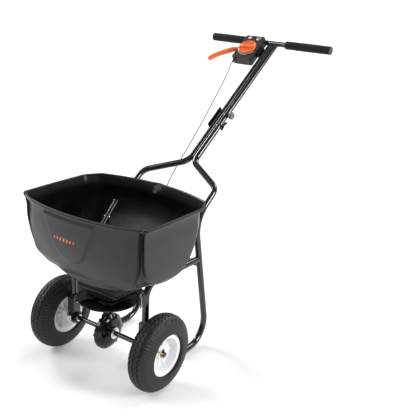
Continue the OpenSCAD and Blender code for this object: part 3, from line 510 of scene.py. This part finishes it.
black_paint = stuff("black_paint", (0.003, 0.003, 0.0035), (0.005, 0.005, 0.0055), 0.06, 0.15, 0.03,
                    0.0016, 0.00005, shine=0.8)
LEG_HALF, LEG_BACK, FOOT_END = 160.0, 357.0, 205.0
STRUT_HALF, STRUT_TOP = 156.0, 341.0
for side, way in (("left", -1), ("right", 1)):
    corners = [on_handle(PAIR, 160), on_handle(PAIR, 0), (LEG_HALF - 1, 349, 572), (LEG_HALF, 240, 489),
               (LEG_HALF - 14, LEG_BACK, TUBE_R), (LEG_HALF - 5, FOOT_END, TUBE_R)]
    path = rounded(corners, (44, 45, 100, 75)) * np.array((way, 1, 1))
    collar = along_path([on_handle(way * PAIR, s) for s in (153, 157, 158.6, 159.6)], (10.9, 10.9, 10.6, 9.4))
    build("side_tube_" + side + "_bent", [tube_skin(path, TUBE_R), shell(collar)], black_paint, "frame",
          ("side_tube_" + side,), crease=50)
    strut = rounded([(way * STRUT_HALF, 0, AXLE_Z + 20.5), (way * STRUT_HALF, 0, STRUT_TOP),
                     (way * STRUT_HALF, 266, STRUT_TOP)], (46,))
    build("strut_" + side + "_bent", [tube_skin(strut, TUBE_R)], black_paint, "frame",
          ("strut_" + side,), crease=50)
    upper = [on_handle(way * PAIR, s) for s in np.linspace(160.2, HANDLE_LONG - 8, 12)]
    build("upper_tube_" + side + "_round", [tube_skin(upper, UPPER_R)], black_paint, "frame",
          ("upper_tube_" + side,), crease=50)
build("crossbar_round", [tube_skin([(x, BAR_Y, BAR_Z) for x in np.linspace(-283, 243, 12)], BAR_R)],
      black_paint, "frame", ("crossbar",), crease=50)


def repaint(material, *names):
    """Kept CAD nodes take a material in every slot."""
    for name in names:
        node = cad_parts[name]
        if not node.data.materials:
            node.data.materials.append(material)
        for holder in node.material_slots:
            holder.material = material


repaint(black_paint, "rear_cross_tube", "axle_brackets", "clamp_plate", "box_bracket", "axle", "drive_pin")

# ---- Feet ----
# Push-in caps of black rubber with domed faces close the lower tubes' ends.
soft_black = stuff("soft_black", (0.007, 0.007, 0.007), (0.011, 0.011, 0.011), 0.02, 0.5, 0.06, 0.0008,
                   0.00008)
cap_skins = []
for way in (-1, 1):
    end = np.array((way * (LEG_HALF - 5), FOOT_END, TUBE_R))
    inner = np.array((way * (LEG_HALF - 14), LEG_BACK, TUBE_R))
    heading = (end - inner) / np.linalg.norm(end - inner)
    places = np.array([-12.0, 0.1, 0.2, 1.2, 3.2, 4.4, 5.0])
    sizes = np.array([9.0, 9.0, 10.4, 11.0, 10.7, 9.2, 6.5])
    cap_skins.append(shell(along_path(end + places[:, None] * heading, sizes)))
build("foot_caps_domed", cap_skins, soft_black, "frame", ("foot_caps",))

# ---- Grips ----
# Sleeves of black foam slid over the crossbar, slightly fuller in the middle, with a plastic plug
# pushed into each end of the bar.
foam = stuff("grip_foam", (0.006, 0.006, 0.007), (0.012, 0.012, 0.013), 0.012, 0.75, 0.05, 0.0016, 0.0003,
             shine=0.3, detail=6.0)
plug_plastic = stuff("plug_plastic", (0.03, 0.03, 0.031), (0.04, 0.04, 0.041), 0.02, 0.42, 0.05, 0.001,
                     0.00005)


def grip_profile(start, end):
    """A sleeve's section: round ends, and a radius that swells by half a millimetre to the middle."""
    t = np.linspace(0, 1, 15)[1:-1]
    body = [(start + 3 + t_ * (end - start - 6), 15.4 + 0.5 * math.sin(math.pi * t_)) for t_ in t]
    return ([(start, 10.2), (start, 13.2), (start + 0.5, 14.6), (start + 1.6, 15.2), (start + 3, 15.4)] + body
            + [(end - 3, 15.4), (end - 1.6, 15.2), (end - 0.5, 14.6), (end, 13.2), (end, 10.2)])


plugs = []
for side, start, end in (("left", -282, -136), ("right", 54, 242)):
    sleeve = turned(grip_profile(start, end), 64, 0, BAR_Y, BAR_Z)
    grip = build("grip_" + side + "_sleeve", [shell(sleeve, loop=True)], foam, "frame",
                 ("grip_" + side + "_foam",))
    tip, way = (start, -1) if side == "left" else (end, 1)
    plugs.append(shell(turned([(tip - way * 8, 8.0), (tip + way * 0.1, 8.2), (tip + way * 0.1, 15.0),
                               (tip + way * 0.5, 15.7), (tip + way * 2.2, 15.8), (tip + way * 3.4, 15.0),
                               (tip + way * 3.9, 13.0), (tip + way * 3.5, 11.0), (tip + way * 3.4, 3.0)],
                              64, 0, BAR_Y, BAR_Z)))
build("grip_plugs", plugs, plug_plastic, "frame", ("grip_caps",))

# ---- Handle joint ----
# Two bolts clamp the upper and the lower tubes: a grey ribbed knob on the upper one and a black
# two-winged nut on the lower one.
zinc = stuff("zinc_plate", (0.52, 0.53, 0.55), (0.62, 0.63, 0.64), 0.004, 0.3, 0.07, 0.0005, 0.00003,
             metal=1.0)
yellow_zinc = stuff("yellow_zinc", (0.62, 0.44, 0.16), (0.74, 0.56, 0.28), 0.004, 0.3, 0.07, 0.0005,
                    0.00003, metal=1.0)
knob_grey = stuff("knob_grey", (0.15, 0.155, 0.16), (0.19, 0.195, 0.2), 0.01, 0.4, 0.05, 0.0007, 0.00005)
black_plastic = stuff("black_plastic", (0.005, 0.005, 0.0055), (0.008, 0.008, 0.0085), 0.03, 0.3, 0.06,
                      0.0009, 0.00006, shine=0.35)
KNOB_UP, NUT_UP = 240.0, 185.0
knob_at, nut_at = on_handle(0, KNOB_UP), on_handle(0, NUT_UP)
KNOB_X = PAIR + UPPER_R + 0.5
a = np.linspace(0, 2 * np.pi, 144, endpoint=False)[None]
far = np.array([0, 0, 3.4, 4.2, 4.6, 6, 14, 16, 16.8, 17, 17])[:, None]
size = np.array([3.2, 6.4, 6.4, 9, 12.2, 13, 13, 12.4, 11, 9, 3.2])[:, None]
size = size + 0.9 * np.cos(12 * a) * ease((size - 9) / 3)
knob = np.stack((KNOB_X + far + 0 * a, knob_at[1] + size * np.cos(a), knob_at[2] + size * np.sin(a)), -1)
build("clamp_knob_ribbed", [shell(knob, loop=True)], knob_grey, "clamp_knob_body", ("clamp_knob",))
nut_profile = [(0, 3.2), (0, 7), (0.8, 7.5), (8, 7.2), (9, 6.4), (9, 3.2)]
wings = [shell(turned(nut_profile, 48, KNOB_X, nut_at[1], nut_at[2]), loop=True)]
for way in (-1, 1):
    reach = np.array([5.0, 9, 13, 16.5, 18.8, 19.8])
    tall = np.array([4.0, 4.8, 6.0, 6.4, 5.2, 2.6])
    thick = np.array([2.6, 2.3, 2.2, 2.2, 2.0, 1.2])
    b = np.linspace(0, 2 * np.pi, 24, endpoint=False)[None]
    middle = KNOB_X + 6 + 3.6 * (reach[:, None] / 19.8)
    along, out = way * reach[:, None], thick[:, None] * np.sin(b)
    wings.append(shell(np.stack((middle + tall[:, None] * np.cos(b),
                                 nut_at[1] + along * ALONG[1] + out * OUT[1],
                                 nut_at[2] + along * ALONG[2] + out * OUT[2]), -1)))
build("wing_nut_moulded", wings, black_plastic, "wing_nut_body", ("wing_nut",))
repaint(zinc, "clamp_bolts", "dial_screw", "lever_pivot", "cable_ferrule", "control_wire",
        "hub_washers", "spindle", "agitator_pin", "pinion_gear")
repaint(yellow_zinc, "bracket_bolts", "end_collar", "valve_left", "valve_right")

# ---- Control box ----
# A dark textured plastic box clamped beside the handle: a tray with the lever's slot, and a cover
# with soft edges and a shallow groove round its face.
BOX_X, BOX_S, FACE_N = -76.0, HANDLE_LONG - 64, 28.0
BOX_HALF_W, BOX_HALF_L, CORNER_R = 43.0, 66.0, 8.0
DIAL_Y = -6.0


def in_box(points):
    """Points in the box's own frame (x across, y up the handle, z out of its face) in the design's frame."""
    points = np.asarray(points, float)
    x, y, z = points[..., :1], points[..., 1:2], points[..., 2:]
    return HANDLE_FOOT + (x + BOX_X) * np.array((1, 0, 0)) + (y + BOX_S) * ALONG + (z + FACE_N) * OUT


def rounded_box(half_x, half_y, r, z, steps=12):
    """A level rounded rectangle at height z: four quarter circles joined by straight lines."""
    b = np.linspace(0, np.pi / 2, steps)
    quarters = ((1, 1, 0), (-1, 1, np.pi / 2), (-1, -1, np.pi), (1, -1, 3 * np.pi / 2))
    return np.vstack([np.stack((side_x * (half_x - r) + r * np.cos(b + turn),
                                side_y * (half_y - r) + r * np.sin(b + turn), z + 0 * b), -1)
                      for side_x, side_y, turn in quarters])


box_plastic = stuff("box_plastic", (0.012, 0.012, 0.013), (0.018, 0.018, 0.019), 0.02, 0.46, 0.06, 0.0012,
                    0.0003, shine=0.4)
# How far in from the box's side, and height above its face, from the underside to the middle
cover_steps = ((2.6, -3.9), (0.2, -3.9), (0, -3.6), (0, -1.6), (0.35, -0.7), (1.1, -0.1), (2.2, 0), (4.2, 0),
               (4.5, -0.6), (5.3, -0.6), (5.6, 0), (8, 0), (25, 0))
cover_rows = [rounded_box(BOX_HALF_W - inset, BOX_HALF_L - inset, max(CORNER_R - inset, 1.0), z, 9)
              for inset, z in cover_steps]
build("control_cover_moulded", [shell(in_box(cover_rows))], box_plastic, "frame", ("control_cover",))
repaint(box_plastic, "control_box")

# ---- Rate dial ----
# An orange moulded disc with a fluted edge and a raised bow-tie grip, which turns on its post.
orange = stuff("orange_plastic", (0.87, 0.155, 0.028), (0.93, 0.19, 0.038), 0.02, 0.33, 0.05, 0.0008, 0.00005)
dial_profile = [(-8, 3), (-8, 6), (0.4, 6), (0.5, 8), (0.5, 34.6), (1.2, 35.7), (5.6, 36), (6.8, 35.5),
                (7.4, 34.4), (7.5, 33), (7.5, 31), (7.0, 30.2), (4.6, 29.6), (4.3, 29), (4.2, 27), (4.2, 8)]
rings = turned(dial_profile, 180, along="z")
angle = np.arctan2(rings[..., 1], rings[..., 0])
edge = ease((np.hypot(rings[..., 0], rings[..., 1]) - 33.6) / 1.4)
rings[..., :2] *= 1 - 0.010 * (edge * (1 + np.cos(45 * angle)))[..., None]
GRIP_HALF = 29.4
s = np.linspace(-GRIP_HALF, GRIP_HALF, 41)[:, None]
b = np.linspace(0, 2 * np.pi, 32, endpoint=False)[None]
waist = (4.2 + 6.0 * (np.abs(s) / GRIP_HALF) ** 1.5) * np.sqrt(np.maximum(1 - (np.abs(s) / 29.5) ** 14, 0.02))
crest = 9.4 * (1 - 0.45 * (np.abs(s) / GRIP_HALF) ** 5)
grip_bar = np.stack((s + 0 * b, waist * np.sign(np.cos(b)) * np.abs(np.cos(b)) ** 0.75,
                     4.6 + crest * np.maximum(np.sin(b), 0) ** 0.5 + 0.6 * np.minimum(np.sin(b), 0)), -1)
dial_centre = np.array((0, DIAL_Y, 0))
build("rate_dial_moulded", [shell(in_box(rings + dial_centre)), shell(in_box(grip_bar + dial_centre))],
      orange, "dial", ("rate_dial",), crease=32)

# ---- Printed marks ----
# White ink on the cover: an arc with steps below the dial, and two plain symbols above it, a ring
# round a dot and three falling grains beside a bar.
ink = stuff("white_ink", (0.78, 0.78, 0.78), (0.85, 0.85, 0.85), 0.01, 0.5, 0.05, 0.0006, 0.00003)


def band(r_low, r_high, start, end, x=0.0, y=DIAL_Y):
    """A flat arc between two radii and two angles in degrees, 0.3 mm thick."""
    c = np.radians(np.linspace(start, end, max(2, int(abs(end - start) / 4) + 1)))[:, None]
    r = np.array((r_low, r_high, r_high, r_low))[None]
    z = np.array((0.02, 0.02, 0.32, 0.32))[None] + 0 * c
    points = in_box(np.stack((x + r * np.cos(c), y + r * np.sin(c), z), -1))
    return shell(points[:-1], loop=True) if abs(end - start) == 360 else shell(points)


marks = [band(37.4, 39.2, 200, 340)] + [band(39.0, 41.6, n - 0.9, n + 0.9) for n in range(205, 340, 13)]
marks += [band(5.0, 7.4, 0, 360, -20, 52), band(0.4, 3.0, 0, 360, -20, 52),
          band(23, 28, 76, 104, 18, 20)]
marks += [band(0.4, 2.6, 0, 360, 18 + x, y) for x, y in ((-7, 54), (0, 56), (7, 54))]
build("printed_marks", marks, ink, "frame", ("dial_marks",))

# ---- On-off lever ----
# A long orange lever that comes out of the box's side and turns down at its round tip, with
# shallow waves for the fingers. It swings on the pivot in the box.
LEVER_LONG, LEVER_ANGLE = 154.0, math.radians(222)
PIVOT_X, PIVOT_Y, LEVER_Z = -29.0, 18.0, -16.5
t = np.concatenate((np.linspace(-0.06, -0.045, 5), np.linspace(-0.03, 0.93, 60),
                    np.linspace(0.94, 1.012, 12)))[:, None]
b = np.linspace(0, 2 * np.pi, 36, endpoint=False)[None]
round_ends = np.sqrt(np.maximum(1 - np.maximum((t - 0.955) / 0.06, 0) ** 2, 0.003)) * np.sqrt(
    np.maximum(1 - np.maximum((-0.02 - t) / 0.042, 0) ** 2, 0.003))
waves = 0.3 * np.sin(t * 44) * ease((t - 0.3) / 0.1)
half_wide = (8.3 + 3.1 * ease((t - 0.18) / 0.14) - 2.6 * t + waves) * round_ends
half_thick = (2.3 + 6.2 * ease((t - 0.16) / 0.2)) * (0.35 + 0.65 * round_ends)
forward = LEVER_LONG * t + 0 * b
sideways = -15 * t + 11 * ease((t - 0.7) / 0.32) + half_wide * np.sign(np.cos(b)) * np.abs(np.cos(b)) ** 0.7
thick = LEVER_Z + 3.5 * ease((t - 0.16) / 0.2) + half_thick * np.sign(np.sin(b)) * np.abs(np.sin(b)) ** 0.6
lever = np.stack((PIVOT_X + forward * math.cos(LEVER_ANGLE) - sideways * math.sin(LEVER_ANGLE),
                  PIVOT_Y + forward * math.sin(LEVER_ANGLE) + sideways * math.cos(LEVER_ANGLE), thick), -1)
build("lever_moulded", [shell(in_box(lever))], orange, "on_off_lever", ("lever",))

# ---- Control cable ----
# A black-jacketed cable in a rubber boot under the box. It runs down beside the handle, behind the
# left tube and the hopper, to the ferrule at the shut-off plate, and is held at both ends.
cable_route = np.array([
    (-105, 830, 941.3), (-105, 805, 923.1), (-102, 790, 911), (-95, 752, 874), (-90, 715, 841),
    (-84, 668, 801), (-77, 616, 758), (-71, 563, 713), (-65, 509, 670), (-59, 455, 629), (-52, 401, 590),
    (-44, 352, 550), (-37, 311, 507), (-31, 278, 455), (-28, 256, 400), (-25, 238, 350), (-21, 222, 312),
    (-17, 206, 286), (-13, 188, 271), (-11, 172, 266), (-11, 160, 266)], float)
CABLE_R = 1.7
reach = np.concatenate(([0], np.cumsum(np.linalg.norm(np.diff(cable_route, axis=0), axis=1))))
cable = smooth_curve(reach, cable_route, np.linspace(0, reach[-1], 170))
build("cable_jacket", [shell(along_path(cable, CABLE_R, 12))], soft_black, "frame", ("control_cable",))
boot_steps = np.array([0, 4.1, 4.3, 5, 7.6, 8.2, 9, 10.5, 12, 13, 14.5, 16, 17, 18.5, 20, 21, 22.5, 25.4,
                       26.0])
boot_sizes = np.array([4.4, 4.4, 5.6, 6, 6, 5.6, 4.3, 4.9, 4.2, 3.9, 4.5, 3.8, 3.5, 4.0, 3.4, 3.1, 3.0,
                       2.6, 2.0])
BOOT_Z = -10.0
boot = in_box(np.stack((0 * boot_steps + PIVOT_X, 4 - BOX_HALF_L - boot_steps, 0 * boot_steps + BOOT_Z), -1))
build("cable_boot_ribbed", [shell(along_path(boot, boot_sizes, 32))], soft_black, "frame", ("cable_boot",))

# ---- Impeller and spindle ----
# A black moulded disc with a raised edge and six swept fins throws the material out. It is pressed
# on the zinc-plated spindle, which also turns the agitator's black finger in the hopper.
DISC_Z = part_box("impeller")[0][2] * 1000 + 16
disc_profile = [(-16, 6.2), (-16, 15.6), (-14.6, 17), (-0.6, 17), (0, 18.4), (0, 99.4), (0.6, 100.7),
                (4.2, 101), (5, 100.5), (5, 99.2), (3.2, 98.4), (2.6, 96), (2.5, 20), (3.1, 17.6),
                (6.6, 16.8), (8, 15.6), (8, 6.2)]
skins = [shell(turned(disc_profile, 144, z=DISC_Z, along="z"), loop=True)]
for n in range(6):
    r = np.linspace(15.5, 99.0, 22)[:, None]
    turn = n * math.pi / 3 + 0.10 * ((r - 15.5) / 83.5) ** 2
    aside = np.array((-1.5, -1.1, -0.8, 0.8, 1.1, 1.5))[None]
    up = np.array((2.0, 6.8, 8.8, 8.8, 6.8, 2.0))[None] - 1.6 * ease((r - 86) / 13)
    skins.append(shell(np.stack((r * np.cos(turn) - aside * np.sin(turn),
                                 r * np.sin(turn) + aside * np.cos(turn), DISC_Z + np.maximum(up, 1.9)), -1)))
build("impeller_finned", skins, black_plastic, "spreader_spindle", ("impeller",))
lean, swing = math.radians(52), math.radians(8)
FINGER_FROM = np.array((0, 0, 535.0))
FINGER = np.array((-math.sin(lean) * math.sin(swing), math.sin(lean) * math.cos(swing), math.cos(lean)))
finger_steps = np.array([-62, -61.5, -59.5, -56, 38, 40.5, 41, 42, 47, 49, 49.8, 50.0])[:, None]
finger_sizes = np.array([3, 5.6, 7.4, 8, 8, 8, 9, 9.5, 9.5, 8.8, 7.2, 4])
finger = along_path(FINGER_FROM + finger_steps * FINGER, finger_sizes, 36)
build("agitator_finger_capped", [shell(finger)], black_plastic, "spreader_spindle",
      ("agitator_finger",))

# ---- Outlet tray ----
# A black moulded tray held under the hopper. It draws in to a rounder foot, holds the spindle's
# bush in its floor and has a tongue behind for the cable's end.
TRAY_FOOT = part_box("outlet_base")[0][2] * 1000
tray_rows = [rounded_box(x, y, r, TRAY_FOOT + up) for x, y, r, up in (
    (86, 56, 6, 29.5), (86, 56, 6, 26), (84.5, 54.5, 8, 25), (81, 53, 12, 17), (72, 51, 24, 8),
    (66, 49.6, 34, 3.5),
    (64.6, 49, 36, 1), (63.4, 48.4, 37, 0), (13.5, 13.5, 13.4, 0), (11, 11, 10.9, 0), (11, 11, 10.9, 4),
    (60, 46, 34, 4), (63, 47, 32, 6), (76, 48, 12, 18), (79, 49, 8, 26), (79, 49, 8, 29.5))]
tongue = [(-6, 48, 0), (6, 48, 0), (6, 144, 0), (-6, 144, 0)]
ANCHOR_X, WIRE_Z = -11, 266
anchor = [(-3.4, 140, 0), (6, 140, 0), (6, 144, 0), (-3.4, 144, 0)]
skins = [shell(tray_rows, loop=True)]
eye = [(140, 3.6), (140, 7.4), (140.6, 8), (143.4, 8), (144, 7.4), (144, 3.6)]
skins.append(shell(turned(eye, 40, ANCHOR_X, 0, WIRE_Z, along="y"), loop=True))
for outline, high in ((tongue, 4), (anchor, 13)):
    level = np.array(outline, float) + (0, 0, TRAY_FOOT)
    skins.append(shell([level, level + (0, 0, high)]))
build("outlet_tray", skins, black_plastic, "frame", ("outlet_base",))

# ---- Gearbox ----
# Two glossy black covers meet in a flange round the bevel gears. Each is domed down to a boss on the
# axle, with six screw bosses; the neck leads the spindle up to the impeller.
gloss_black = stuff("gloss_black", (0.003, 0.003, 0.0035), (0.005, 0.005, 0.0055), 0.05, 0.14, 0.04,
                    0.002, 0.00004, shine=0.4)
case_profile = [(0.1, 9), (0.1, 60.4), (0.7, 61), (5.2, 61), (6, 60.2), (6.4, 57.6), (9, 56.4), (13, 53),
                (17, 47.5), (20, 40), (22, 31), (23, 24), (24.6, 20.6), (26.4, 20), (27, 19.2), (27, 13.2),
                (20, 13.2), (20, 9)]
SCREW_RING = 52.0
screw_places = [(SCREW_RING * math.sin(math.radians(30 + 60 * n)),
                 AXLE_Z + SCREW_RING * math.cos(math.radians(30 + 60 * n))) for n in range(6)]
for side, way in (("right", 1), ("left", -1)):
    skins = [shell(turned([(way * far, radius) for far, radius in case_profile], 120, z=AXLE_Z), loop=True)]
    boss = [(way * 6, 1.0), (way * 6, 4.6), (way * 13.8, 4.2), (way * 14.2, 3.6), (way * 14.2, 1.0)]
    skins += [shell(turned(boss, 20, y=y, z=z)) for y, z in screw_places]
    if way > 0:
        neck = [(53, 9), (53, 22), (60, 18.5), (64, 15.4), (70, 13.6), (78, 13), (99, 13), (100.2, 12.2),
                (100.2, 7)]
        skins.append(shell(turned(neck, 60, z=AXLE_Z, along="z"), loop=True))
    build("gear_case_" + side + "_domed", skins, gloss_black, "frame", ("gear_case_" + side,))
dark_zinc = stuff("dark_zinc", (0.03, 0.03, 0.032), (0.05, 0.05, 0.052), 0.004, 0.32, 0.06, 0.0005,
                  0.00003, metal=1.0)
head_profile = [(14.1, 0.8), (14.1, 3.0), (15.4, 2.8), (15.9, 2.1), (15.5, 1.1)]
heads = [shell(turned(head_profile, 24, y=y, z=z)) for y, z in screw_places]
build("case_screw_heads", heads, dark_zinc, "frame", ("case_screws",))

# ---- Axle, bearings and the rest of the drive ----
# Kept CAD nodes get their own finishes. Bright turned rings stand at the gearbox and beside both
# bearings.
bright = stuff("bright_ring", (0.72, 0.73, 0.75), (0.8, 0.8, 0.82), 0.004, 0.16, 0.05, 0.0004, 0.00002,
               metal=1.0)
bronze = stuff("bronze", (0.48, 0.36, 0.2), (0.58, 0.44, 0.26), 0.004, 0.4, 0.06, 0.0004, 0.00004, metal=1.0)
nylon = stuff("nylon", (0.62, 0.61, 0.57), (0.7, 0.69, 0.65), 0.01, 0.45, 0.05, 0.0008, 0.00005)
dark_steel = stuff("dark_steel", (0.03, 0.03, 0.033), (0.05, 0.05, 0.052), 0.01, 0.4, 0.08, 0.0008,
                   0.00005, metal=0.6)
repaint(bright, "case_rings")
repaint(bronze, "case_bushes", "ring_gear")
repaint(nylon, "spindle_bush")
repaint(black_plastic, "axle_bearings", "deflector")
repaint(dark_steel, "shutoff_plate", "shutoff_guides")
collar_profile = [(133.9, 8.2), (133.9, 11.4), (133.4, 12), (130.6, 12), (130, 11.4), (130, 8.2)]
collars = [shell(turned([(way * far, radius) for far, radius in collar_profile], 48, z=AXLE_Z), loop=True)
           for way in (-1, 1)]
build("bearing_collars", collars, bright, "frame")
